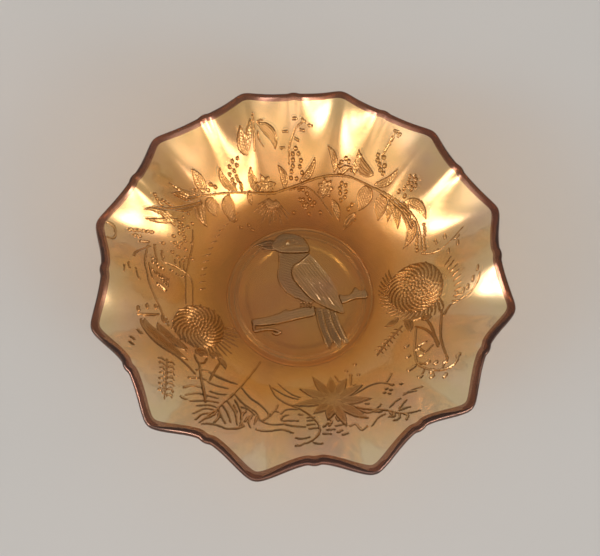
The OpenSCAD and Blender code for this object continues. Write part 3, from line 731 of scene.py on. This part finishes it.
for x, y in [
    (-78.4, 31.6), (-76, 35), (-76.6, 32), (-73.4, 38.4), (-77.6, 28.6), (-75.4, 30), (-78.4, 19),
    (-76, 17.4), (-78.6, 13.2), (-75.4, 11.6), (-72.4, 10.4), (-71.2, 13), (-67.4, 13), (-68.8, 22.4),
    (-77, 25.2), (-75, 27.2), (-73, 22.4), (-75, 20.2), (-72, 17.4), (-74, 24.6), (-79.8, 22.6),
    (-72.6, 30.6), (-70.2, 33.6), (-88.6, 5.2), (-88.6, 2.6), (-86, 3.4), (-85.6, 1.2), (-83.4, 1),
    (-78.2, 1.8), (-83, 8.6), (-84, 16.4), (-101, 17.4), (-99, 18), (-97, 18.6), (-95, 19), (-93, 19.6),
    (-91, 20.2), (-98, 15.4), (-96, 15.6), (-74.8, 0.6), (-71.8, 0.4),
]:
    bead(wattle, (x, y), 0.95, 1.0)
for k in range(7):
    for j in range(1 + k // 2):
        bead(wattle, (-89 + 1.5 * k, -2.4 - 1.1 * k + 1.5 * j), 0.7, 0.8)
ridge(wattle, [(-85.4, -10.4), (-83, -11), (-80.6, -12)], 1.7, 1.0)
ridge(wattle, [(-94.8, 13), (-91.4, 14)], 1.5, 0.9)
for k in range(13):
    way = math.radians(184 - 4.1 * k)
    c = (61.5 + 0.25 * k) * np.array([math.cos(way), math.sin(way)])
    slant = math.radians(28 + 1.5 * k)
    ridge(wattle, [c, c + 3 * np.array([math.cos(slant), math.sin(slant)])], 0.8, 0.55, 0.6, 0.5)
piece = press("wattle_sprays", wattle, THICK_LUSTRE)
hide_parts("wattle_sprays")

# ---------------------------------------------------------------------------------------------
# The left waratah: a head of hooked styles over curled bracts, with long strap leaves behind it.
# Its hooks are cut one by one over a low dome, and all of it is pressed in one with the wall.


def dome(h, place, radius, rise, count, hook=0.35):
    """A waratah head: hooked styles set like a sunflower's seeds over a low dome."""
    c = np.array(place, dtype=float)
    spots = near(c[None], radius)
    d = np.hypot(*(PLAN[spots] - c).T) / radius
    lift(h, spots, 0.45 * rise * np.clip(1 - d**2, 0, 1) ** 0.5)
    base = h.copy()
    styles = blank()
    for k in range(count):
        turn = k * math.pi * (3 - math.sqrt(5))
        share = math.sqrt((k + 0.5) / count)
        start = c + radius * 0.93 * share * np.array([math.cos(turn), math.sin(turn)])
        bend = turn + hook + 0.5 * share
        tip = start + (0.3 + 2.6 * share**2) * np.array([math.cos(bend), math.sin(bend)])
        ridge(styles, [start, tip], 1.4, 0.85 * rise, 1.0, 0.7)
    h[:] = np.where(styles > 0, base + styles, h)


left_head = blank()
dome(left_head, (-58.5, -29), 14.2, FLOWER_H, 150, 0.5)
for k in range(11):
    way = math.radians(-62 + 7.5 * k)
    w = np.array([math.cos(way), math.sin(way)])
    c = np.array((-58.5, -29))
    reach = 20 + 3.4 * math.sin(k * 1.3) ** 2
    ridge(left_head, [c + 14.8 * w, c + reach * w + (0.8, -1.2)], 1.0, 0.8, 0.7, 0.4)
for row in [
    (-86.6, -32.6, -61.6, -53.8, 6.6, -3.8, "lines"), (-80, -33, -63, -48, 5.6, -2.2, "lines"),
    (-79, -27.6, -74, -33, 3, 0, "none"), (-72, -40.6, -63, -46, 4, -1, "none"),
    (-58.4, -47.4, -51.2, -47.8, 6, 2.2, "none"), (-50.4, -46, -42.6, -46.6, 4.6, 1.2, "none"),
    (-45, -47.6, -40.4, -53.6, 3, 1.2, "none"),
]:
    leaf(left_head, row[:2], row[2:4], row[4], row[5], LEAF_H * 0.85, row[6])
for path in (
    [(-88, -33.4), (-86, -39), (-82, -46), (-76, -51), (-68, -53.8), (-60, -58), (-56, -60.6)],
    [(-90.6, -31), (-86, -30), (-80.6, -28)],
    [(-58.6, -49), (-57, -52), (-55.4, -53.2), (-52.6, -52), (-51.4, -49)],
    [(-55.2, -53.4), (-53, -60), (-50.4, -67), (-49, -73), (-48, -79)],
    [(-44, -50), (-46, -56), (-47.4, -62)], [(-56, -58), (-50, -57), (-44, -59), (-36, -62)],
):
    ridge(left_head, path, 1.3, 0.95, 0.7, 0.7)
for x, y in [(-91.4, -28.6), (-87.6, -25.6), (-83.4, -24), (-88, -42), (-91.6, -48.4), (-92.6, -53)]:
    ridge(left_head, [(x - 0.6, y + 0.8), (x + 0.6, y - 0.8)], 1.4, 0.9)
piece = press("left_waratah", left_head, THICK_LUSTRE)
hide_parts("left_waratah")

# ---------------------------------------------------------------------------------------------
# A sprig of paired pods, low on the left beside the fern. It is light, shallow work, pressed in one
# with the wall.
sprig = blank()
for k in range(7):
    x, y = -73.2 + 0.75 * k, -59.6 - 2.9 * k
    ridge(sprig, [(x - 1.2, y), (x - 3, y + 1.2), (x - 4.6, y + 0.4)], 1.1, 0.8, 0.8, 0.6)
    ridge(sprig, [(x + 1.2, y), (x + 3, y + 0.9), (x + 4.4, y - 0.2)], 1.1, 0.8, 0.8, 0.6)
ridge(sprig, [(-73.4, -58), (-71.4, -68), (-68.4, -79)], 0.7, 0.5)
piece = press("bead_sprays", sprig, THICK_LUSTRE)
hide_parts("bead_sprays")

# ---------------------------------------------------------------------------------------------
# The fern: a spine from the well's edge out towards the rim, with curved leaflets on both sides.
# It is all plain round strokes of one tool, pressed in one with the wall.
fern = blank()
ridge(fern, [(-21, -45.6), (-25.4, -54), (-30, -62.6), (-35.6, -73.6), (-39.6, -80), (-42, -85), (-47, -92),
             (-50, -97)], 1.2, 1.0, 0.7, 0.7)
for path in (
    [(-59, -64), (-53.6, -62.2), (-49.6, -62.6)], [(-60, -70), (-55.4, -67.6), (-49.6, -68)],
    [(-58, -74), (-53, -72), (-47.6, -73.6), (-42, -75.4)], [(-55, -78), (-48, -77.8), (-41.6, -79)],
    [(-52, -82), (-46, -81.6), (-41, -84)], [(-53.4, -88.6), (-48.6, -84.8), (-43.6, -85.4)],
    [(-52, -94), (-49.6, -90), (-45, -88.4)], [(-39.6, -80), (-36, -86), (-33.6, -92.4)],
    [(-36.6, -77), (-31.6, -85), (-29.6, -93)], [(-41, -84.6), (-38.6, -90.6), (-36.4, -94.6)],
    [(-32.6, -75), (-29.4, -81), (-27.4, -87), (-28, -93)], [(-25.4, -81), (-28, -86), (-26.4, -91.6)],
    [(-22, -82.6), (-23.4, -87.6), (-22, -91)], [(-19, -82.6), (-20, -87.6)],
    [(-49, -98.4), (-42, -97.4), (-36, -98.4), (-30, -95.6), (-25.6, -91.6)],
    [(-47, -93.6), (-43.4, -90), (-42, -86)], [(-42.6, -96), (-40.6, -92), (-40.6, -88)],
    [(-48.4, -63.6), (-42.6, -65.8), (-37.6, -66.8)], [(-46.6, -70), (-42, -71.8), (-38, -71.6)],
    [(-47.6, -57.6), (-40, -60.8), (-32.6, -62.4)],
    [(-29.6, -64.6), (-24, -71), (-17, -75), (-12.6, -80), (-16, -84.4)],
    [(-33, -70.6), (-27, -77), (-20, -80), (-17.4, -84)], [(-30, -79.6), (-25, -79.4), (-20.6, -82)],
    [(-24, -84.6), (-25.6, -88.6)], [(-33, -79), (-30.6, -84)], [(-60, -75.4), (-57, -76.6)],
):
    ridge(fern, path, 1.25, 0.95, 0.6, 0.6)
piece = press("fern_frond", fern, THICK_LUSTRE)
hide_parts("fern_frond")

# ---------------------------------------------------------------------------------------------
# The flannel flower at the near side: long pointed petals of uneven length round a stippled eye.
# It is pressed in one with the wall.
flannel = blank()
lengths = [22, 20, 17, 16, 20, 21, 24, 16, 16, 19, 24]
daisy(flannel, (23, -67.5), 5.0, lengths, 5.2, FLOWER_H * 0.9, math.radians(-2))
piece = press("flannel_flower", flannel, THICK_LUSTRE)
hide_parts("flannel_flower")

# ---------------------------------------------------------------------------------------------
# Grasses under the flower: a bent stalk, short blades in rows, and a spiny twig running right.
# They are short round strokes, pressed in one with the wall.
grass = blank()
for path in (
    [(-14, -60), (-9.6, -67), (-3, -71.6), (4, -75), (9.6, -79.6), (14, -85), (16.2, -92), (14, -99),
     (9, -104)],
    [(-12, -61.6), (-4, -66), (3, -68)], [(-9, -58.6), (-1, -64.6), (4, -66.6)],
    [(-6, -79), (-3.6, -76), (3, -75.6)], [(-17.4, -84.6), (-10, -85.8), (-3, -86)],
    [(-18.6, -90.6), (-10, -89.6), (-4, -90), (1.6, -94)], [(-12, -80.6), (-10, -77), (-7.4, -77.6)],
    [(-9, -76), (-8.4, -73)], [(-5.6, -82.6), (-4.6, -80.4), (-2, -79.8)], [(-5, -83.6), (4, -84.8)],
    [(-3, -86.6), (3, -89), (8, -90)], [(4, -79.6), (6, -80)], [(9, -82.4), (13, -81.6)],
    [(9, -85), (13, -84)], [(9, -88.4), (13.4, -87.4)], [(10, -91.6), (15, -90.6)],
    [(3, -98), (7, -99.8), (11, -98.4)], [(3, -104), (6, -104.8), (8.4, -103.4)],
    [(13, -103), (16, -104), (18, -103)], [(18, -95), (22.4, -93.4)], [(18, -89), (20.6, -85)],
    [(20, -91), (24, -89)], [(22.6, -83), (21, -87.6)], [(24.6, -86), (28, -84)],
    [(25.6, -91), (28, -88)], [(26, -82), (24.4, -79.6)], [(28, -91.6), (31, -89)],
    [(20, -81), (22, -82.6)],
    [(33, -71), (40, -74.2), (48, -77), (54.6, -79.6), (60, -82.8), (67, -83.6), (71, -82)],
    [(36, -73.6), (42, -77.2), (47, -77)], [(55, -77), (57.6, -73.4), (60.4, -71)],
    [(60, -79), (63.6, -72.4)], [(50, -79), (46.4, -77.8)], [(56, -83), (54.6, -80.4)],
    [(60, -80.4), (66, -78.8)], [(57, -82), (57, -84.4), (54, -83.6)],
    [(60, -84), (59.4, -87), (56.4, -87)], [(62, -83.4), (64.4, -85.4), (63.6, -88.6)],
    [(48, -75.6), (50, -73.4)], [(32, -84), (35, -82.8), (38, -86.4), (41, -85.4)],
    [(44, -86), (47.6, -82.4), (52, -81)], [(41, -71), (43, -71.6)],
    [(34.6, -64), (42, -59), (48, -57), (53, -57.6), (56, -59.4)], [(53, -56.6), (55.6, -50.4)],
    [(62, -68), (66, -63.4), (70.4, -60.4)], [(62.4, -66.6), (68, -64)], [(24, -51), (27, -56)],
    [(33, -50), (33, -57)],
):
    ridge(grass, path, 1.2, 0.9, 0.6, 0.6)
for x, y in [
    (56, -59), (60.6, -58.4), (53, -62), (55.4, -63), (52, -65), (54.6, -66), (35, -57.4), (33, -50.4),
    (37.4, -50), (30.4, -47.6), (35.4, -43), (27.4, -55),
]:
    bead(grass, (x, y), 0.9, 0.9)
piece = press("grass_leaves", grass, THICK_LUSTRE)
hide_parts("grass_leaves")

# ---------------------------------------------------------------------------------------------
# The right waratah is larger and open, with drooping bracts and a pair of stalks. Its hooks are
# cut like the left one's, and it is pressed in one with the wall.
right_head = blank()
dome(right_head, (69.4, 4.6), 15.6, FLOWER_H, 170, 0.7)
for k in range(24):
    way = math.radians(150 + 7.6 * k)
    w = np.array([math.cos(way), math.sin(way)])
    swirl = np.array([-w[1], w[0]])
    c = np.array((69.4, 4.6))
    ridge(right_head, [c + 15.4 * w, c + 18 * w - 1.6 * swirl, c + 20.6 * w - 4.4 * swirl], 1.1, 0.9,
        0.8, 0.4)
for k in range(9):
    way = math.radians(-30 + 9 * k)
    w = np.array([math.cos(way), math.sin(way)])
    c = np.array((72, 2))
    ridge(right_head, [c + 19 * w, c + 23 * w + (0, 2)], 0.8, 0.45, 0.8, 0.4)
for row in [
    (63.4, -14.4, 66.2, -24, 4.4, 1.4, "none"), (68, -16, 72.6, -15.6, 3, 1, "none"),
    (73.4, -12.4, 78, -15, 5, -1.6, "none"), (60, -13.4, 52.4, -18.4, 3.6, 0.6, "none"),
]:
    leaf(right_head, row[:2], row[2:4], row[4], row[5], LEAF_H * 0.85, row[6])
for path in (
    [(69.6, -20.4), (75, -23.6), (79.6, -30), (82, -38)],
    [(74.6, -15.4), (78, -22), (80.4, -30), (82.4, -36)],
    [(82.6, -12), (83, -22), (83.6, -32), (85, -40), (86.4, -46.6)],
    [(84, -16), (84.8, -12.6), (87, -9.6)], [(62, -19), (58, -24), (54, -28.6), (48, -37.4)],
):
    ridge(right_head, path, 1.2, 0.9, 0.7, 0.7)
for k in range(7):
    x, y = 60.4 - 1.8 * k, -21 - 2.2 * k
    ridge(right_head, [(x, y), (x - 2.6, y + 0.6)], 0.9, 0.6, 0.8, 0.4)
    ridge(right_head, [(x, y), (x + 1.8, y - 2)], 0.9, 0.6, 0.8, 0.4)
piece = press("right_waratah", right_head, THICK_LUSTRE)
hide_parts("right_waratah")

# ---------------------------------------------------------------------------------------------
# A hanging spray of berries on the right, its stalk bent in a long hook. The berries are oval, each
# one stroke of a round tool, and pressed in one with the wall.
hook = blank()
ridge(hook, [(70, -21), (69.4, -30), (69, -39), (70, -46), (75, -50), (81.4, -52), (87, -51.8),
             (91.6, -49.4), (93, -46.6)], 1.15, 0.95, 0.7, 0.8)
for path in (
    [(70.6, -41.4), (75, -39.4), (79, -36)], [(71, -35), (73, -37.6), (74.4, -39)],
    [(70, -45), (74, -46.6)], [(86.4, -46.6), (83.6, -49.6), (82.4, -51.6)], [(72.4, -50), (70, -53)],
    [(76.4, -50.6), (77, -53.6)],
):
    ridge(hook, path, 1.0, 0.85, 0.7, 0.7)
for x, y in [
    (64.6, -33), (65, -40), (65, -48.4), (67.4, -47), (75.4, -46), (79.4, -47.4), (70, -53.4),
    (76, -54.2), (83, -55.4), (76.4, -51.4), (85, -48.2), (92.6, -47), (72.4, -33.8), (74.4, -33),
    (70.6, -36.4),
]:
    ridge(hook, [(x - 0.7, y - 0.3), (x + 0.7, y + 0.4)], 1.7, 1.05)
piece = press("berry_spray", hook, THICK_LUSTRE)
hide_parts("berry_spray")

# ---------------------------------------------------------------------------------------------
# Small seed sprigs between the garland and the rim, and one round blister of trapped air by the
# left edge. They are the outermost work of the picture, pressed in one with the wall.
seeds = blank()
for path in (
    [(-13.6, 80), (-14.4, 88), (-13, 94), (-10.6, 99.4), (-6, 103)],
    [(45.4, 84), (49, 90), (53, 96), (56, 94.6)], [(72, 25.6), (80, 24.6), (86, 28.8), (92, 36)],
    [(87, -9.6), (92, -7.6), (99, -4), (103.6, 1), (105.4, 5)],
):
    ridge(seeds, path, 0.9, 0.8, 0.8, 0.6)
for x, y, way in [
    (-17.8, 96.2, 10), (-18.6, 87.4, 15), (-10, 93, -20), (-12.4, 103.6, 10), (-7, 98, -10),
    (-1.8, 100.4, -15), (47.6, 87.4, 55), (49, 89.4, 50), (51.2, 93, 60), (53.6, 97, -20),
    (55.2, 94.4, 40), (-6.4, 103, -30), (83.4, 33, -70), (79, 31, -65), (91.4, 27.6, -70),
    (87, 23.6, -75), (79.6, 25.4, 20), (90.2, 31, 45), (91.2, -4.4, 70), (95, -2.8, 70),
    (97.6, -1.4, 68), (101.2, 2.6, 72), (104.6, 8, 75), (91, -8, 20),
]:
    w = 1.1 * np.array([math.cos(math.radians(way)), math.sin(math.radians(way))])
    ridge(seeds, [(x, y) - w, (x, y) + w], 1.2, 0.85)
for k in range(25):
    a, b = (math.radians(14.4 * i + 100) for i in (k, k + 1))
    if k > 7:
        ridge(seeds, [(-112 + 4.6 * math.cos(t), 13 + 4.6 * math.sin(t)) for t in (a, b)], 0.9, 0.8)
piece = press("rim_sprigs", seeds, THICK_LUSTRE)
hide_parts("rim_sprigs")

# ---------------------------------------------------------------------------------------------
# The wall is what is left between the flowers, and its plain back from the mould. It is pressed with
# them in one, and the sprayed film lies on its inside.
# Marigold lustre: amber by the well, straw where the film thins out towards the rim
MARIGOLD = lustre_glass(
    "marigold_glass", (WELL_R, TIP_R),
    [(0.0, "#cc8c3a"), (0.2, "#e8a44c"), (0.6, "#f5c88c"), (1.0, "#f9e2c0")], 0.11, 0.045, "#f0d4a6",
)
WALL_T = 4.2
OUTSIDE_ROWS = 48
back_r = np.linspace(TIP_R - RIM_BAND, WELL_R, OUTSIDE_ROWS + 1)
rr, ww = np.meshgrid(back_r, column_way, indexing="ij")
back = bowl(rr, ww) - WALL_T * out_of_glass(rr, ww)
back[-1] = back[-1] * (1, 1, 0) + (0, 0, back[-1, :, 2].mean())
count = len(GROUND)
back_number = count + np.arange(back.shape[0] * COLUMNS).reshape(-1, COLUMNS)
points = np.concatenate([GROUND, back.reshape(-1, 3)])
wall_plain = plain[: len(wall_cells)]
outside = np.concatenate([ring_cells(a, b) for a, b in zip(back_number[:-1], back_number[1:])])
piece = solid(
    "bowl_wall", points, [wall_cells[wall_plain], outside],
    [
        wall_cells[~wall_plain],
        ring_cells(wall_number[-1], back_number[0]),
        ring_cells(back_number[-1], wall_number[0]),
    ],
    MARIGOLD,
)
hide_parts("bowl_wall")

# ---------------------------------------------------------------------------------------------
# The rim is ruffled by hand on a crimp while the glass is soft, then fire-polished to a round lip.
# Its dark brown is painted shade, for the dark line that the thick lip shows, and the heat leaves it
# glossy.
RIM_GLASS = lustre_glass(
    "rim_glass", (WELL_R, TIP_R), [(0.7, "#98644a"), (1.0, "#8c563c")], 0.36, 0.04, "#c89a78", film=0.0,
)
LIP_R = WALL_T / 2
LIP_STEPS = 14
lip_c = TIP_R - LIP_R
lip_up = out_of_glass(np.full(COLUMNS, lip_c), column_way)
outer_line, inner_line = (bowl(np.full(COLUMNS, lip_c + d), column_way) for d in (0.2, -0.2))
lip_out = unit(outer_line - inner_line)
middle = bowl(np.full(COLUMNS, lip_c), column_way) - LIP_R * lip_up
lip = [GROUND[wall_number[-1]]]
for i in range(LIP_STEPS + 1):
    a = math.pi * (0.5 - i / LIP_STEPS)
    lip.append(middle + LIP_R * (math.cos(a) * lip_out + math.sin(a) * lip_up))
lip.append(back[0])
lip_number = np.arange(len(lip) * COLUMNS).reshape(-1, COLUMNS)
piece = solid(
    "ruffled_rim", np.concatenate(lip),
    [np.concatenate([ring_cells(a, b) for a, b in zip(lip_number[:-1], lip_number[1:])])],
    [ring_cells(lip_number[-1], lip_number[0])],
    RIM_GLASS,
)
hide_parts("ruffled_rim")

# ---------------------------------------------------------------------------------------------
# The well's floor is thick in the middle, and thinner in a groove just inside the foot, both left
# by the mould. The groove's inner side throws a pale crescent of window light up through the glass.
UNDER_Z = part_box("well_floor")[0][2] / MM
FOOT_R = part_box("foot_ring")[1][0] / MM
FOOT_IN = FOOT_R - 6.2
GROOVE_UP = 1.3
GROOVE_R, GROOVE_STEP = 39.8, 1.4  # its steep outer side
GROOVE_FLOOR_R, GROOVE_SLOPE = 35.6, 4.4  # its gentle inner side


def turned(radius, height):
    """A ring of points, as a lathe would leave it."""
    return np.stack(
        [radius * np.cos(column_way), radius * np.sin(column_way), np.full(COLUMNS, height)], axis=1
    )


under = [back[-1], turned(FOOT_R, UNDER_Z), turned(FOOT_IN, UNDER_Z)]
outer_side = np.linspace(GROOVE_R, GROOVE_R - GROOVE_STEP, 7)
inner_side = np.linspace(GROOVE_FLOOR_R, GROOVE_FLOOR_R - GROOVE_SLOPE, 17)
for r in np.concatenate([outer_side, inner_side]):
    outer = 0.5 - 0.5 * math.cos(math.pi * np.clip((FOOT_IN - r) / GROOVE_STEP, 0, 1))
    inner = 0.5 - 0.5 * math.cos(math.pi * np.clip((GROOVE_FLOOR_R - r) / GROOVE_SLOPE, 0, 1))
    under.append(turned(r, UNDER_Z + GROOVE_UP * (outer - inner)))
under += [turned(r, UNDER_Z) for r in (24, 16, 8, 3, 1)]
under_number = count + np.arange(len(under) * COLUMNS).reshape(-1, COLUMNS)
points = np.concatenate([GROUND, *under, [[0, 0, UNDER_Z]]])
pole = np.full(COLUMNS, len(points) - 1)
skirt = [ring_cells(under_number[i], under_number[i + 1]) for i in range(len(under) - 1)]
last = under_number[-1]
middle_cells = np.stack([last, pole, np.roll(last, -1)], axis=1)
well_plain = plain[len(wall_cells):]
piece = solid(
    "well_floor", points,
    [well_cells[well_plain], skirt[0], np.concatenate(skirt[2:]), middle_cells],
    [well_cells[~well_plain], skirt[1], ring_cells(wall_number[0], under_number[0])],
    WELL_GLASS,
)
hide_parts("well_floor")

# ---------------------------------------------------------------------------------------------
# The collar foot is pressed in one with the bowl. Its sides lean in a little to leave the mould,
# and it stands on a narrow flat ring.
section = smooth_path([(FOOT_R, UNDER_Z), (FOOT_R - 0.3, UNDER_Z / 2), (FOOT_R - 1.0, 0.5)], 5).tolist()
section += [(FOOT_R - 1.4, 0.1), (FOOT_R - 1.8, 0), (FOOT_R - 4.1, 0), (FOOT_R - 4.5, 0.1)]
section += smooth_path([(FOOT_R - 4.9, 0.5), (FOOT_R - 5.4, UNDER_Z / 2), (FOOT_IN, UNDER_Z)], 5).tolist()
foot = [turned(r, z) for r, z in section]
foot_number = np.arange(len(foot) * COLUMNS).reshape(-1, COLUMNS)
piece = solid(
    "foot_ring", np.concatenate(foot),
    [np.concatenate([ring_cells(a, b) for a, b in zip(foot_number[:-1], foot_number[1:])])],
    [ring_cells(foot_number[-1], foot_number[0])],
    WELL_GLASS,
)
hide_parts("foot_ring")

# ---------------------------------------------------------------------------------------------
# The table is a pale grey laminate top, pressed smooth and slightly mottled. It is dull enough to
# mirror nothing.
table_mesh = bpy.data.meshes.new("table")
half = 1.6  # metres
corners = [(-half, -half, 0), (half, -half, 0), (half, half, 0), (-half, half, 0)]
table_mesh.from_pydata(corners, [], [(0, 1, 2, 3)])
table = bpy.data.objects.new("table", table_mesh)
table.location.z = -0.1 * MM  # the foot stands on it without sharing its plane
bpy.context.scene.collection.objects.link(table)
laminate = bpy.data.materials.new("pale_laminate")
laminate.use_nodes = True
tree = laminate.node_tree
tree.nodes.clear()
place = add(tree, "ShaderNodeTexCoord").outputs["Object"]
mottle = add(tree, "ShaderNodeTexNoise", {"Scale": 3.0, "Detail": 2.0}, Vector=place)
tone = ramp(tree, mottle.outputs["Fac"], [(0.35, "#cac6c1"), (0.65, "#cfcac5")])
surface = add(tree, "ShaderNodeBsdfPrincipled", {"Roughness": 0.6}, Base_Color=tone.outputs[0])
add(tree, "ShaderNodeOutputMaterial", None, Surface=surface.outputs[0])
table_mesh.materials.append(laminate)

# ---------------------------------------------------------------------------------------------
# Soft studio light: a pale room with bright windows low to the left and right, and faint glows
# between and over them, which the ruffles mirror.
world = bpy.data.worlds.new("studio")
bpy.context.scene.world = world
world.use_nodes = True
tree = world.node_tree
tree.nodes.clear()
look = add(tree, "ShaderNodeTexCoord").outputs["Generated"]
light = None
ROOM = (0.355, 0.352, 0.352)
# Each window: its direction round and up and its width in degrees, and its colour times strength
for way, height, width, colour in [
    (320, 23, 6, (13.0, 13.0, 12.8)), (336, 12, 4.5, (9.0, 9.0, 8.9)), (215, 26, 6, (12.0, 12.0, 11.8)),
    (200, 18, 4.5, (8.0, 8.0, 7.9)), (250, 24, 11, (2.0, 2.0, 1.98)), (286, 24, 11, (2.0, 2.0, 1.98)),
    (328, 20, 15, (0.9, 0.9, 0.88)), (208, 24, 15, (0.7, 0.7, 0.68)), (268, 40, 30, (0.12, 0.12, 0.12)),
]:
    a, b = math.radians(way), math.radians(height)
    toward = (math.cos(b) * math.cos(a), math.cos(b) * math.sin(a), math.sin(b))
    sharp = 1 / math.radians(width) ** 2
    facing = add(tree, "ShaderNodeVectorMath", {"operation": "DOT_PRODUCT", 1: toward}, _0=look)
    falls = add(
        tree, "ShaderNodeMath", {"operation": "MULTIPLY_ADD", 1: sharp, 2: -sharp},
        _0=facing.outputs["Value"],
    )
    glow = add(tree, "ShaderNodeMath", {"operation": "EXPONENT"}, _0=falls.outputs[0])
    lamp = add(tree, "ShaderNodeVectorMath", {"operation": "SCALE", 0: colour}, _Scale=glow.outputs[0])
    if light is None:
        light = add(tree, "ShaderNodeVectorMath", {"operation": "ADD", 1: ROOM}, _0=lamp.outputs[0])
    else:
        light = add(
            tree, "ShaderNodeVectorMath", {"operation": "ADD"}, _0=light.outputs[0], _1=lamp.outputs[0]
        )
room = add(tree, "ShaderNodeBackground", None, Color=light.outputs[0])
add(tree, "ShaderNodeOutputWorld", None, Surface=room.outputs[0])

# ---------------------------------------------------------------------------------------------
# The camera looks down steeply from the front and is a little turned.
CAMERA_FAR, CAMERA_UP, CAMERA_ROLL = 0.4487, math.radians(69.3), math.radians(4.26)
CAMERA_AIM = np.array([-0.00105, 0.01405, 0.0])
back_way = np.array([0, -math.cos(CAMERA_UP), math.sin(CAMERA_UP)])
side_way = np.array([1.0, 0, 0])
up_way = np.cross(back_way, side_way)
turned_side = side_way * math.cos(CAMERA_ROLL) + up_way * math.sin(CAMERA_ROLL)
turned_up = up_way * math.cos(CAMERA_ROLL) - side_way * math.sin(CAMERA_ROLL)
spot = CAMERA_AIM + back_way * CAMERA_FAR
lens = bpy.data.cameras.new("camera")
lens.lens, lens.sensor_width = 42.0, 36.0
lens.clip_start, lens.clip_end = 0.01, 20
camera = bpy.data.objects.new("camera", lens)
bpy.context.scene.collection.objects.link(camera)
camera.matrix_world = Matrix(
    [(turned_side[i], turned_up[i], back_way[i], spot[i]) for i in range(3)] + [(0, 0, 0, 1)]
)
bpy.context.scene.camera = camera
bpy.context.scene.view_settings.view_transform = "Standard"
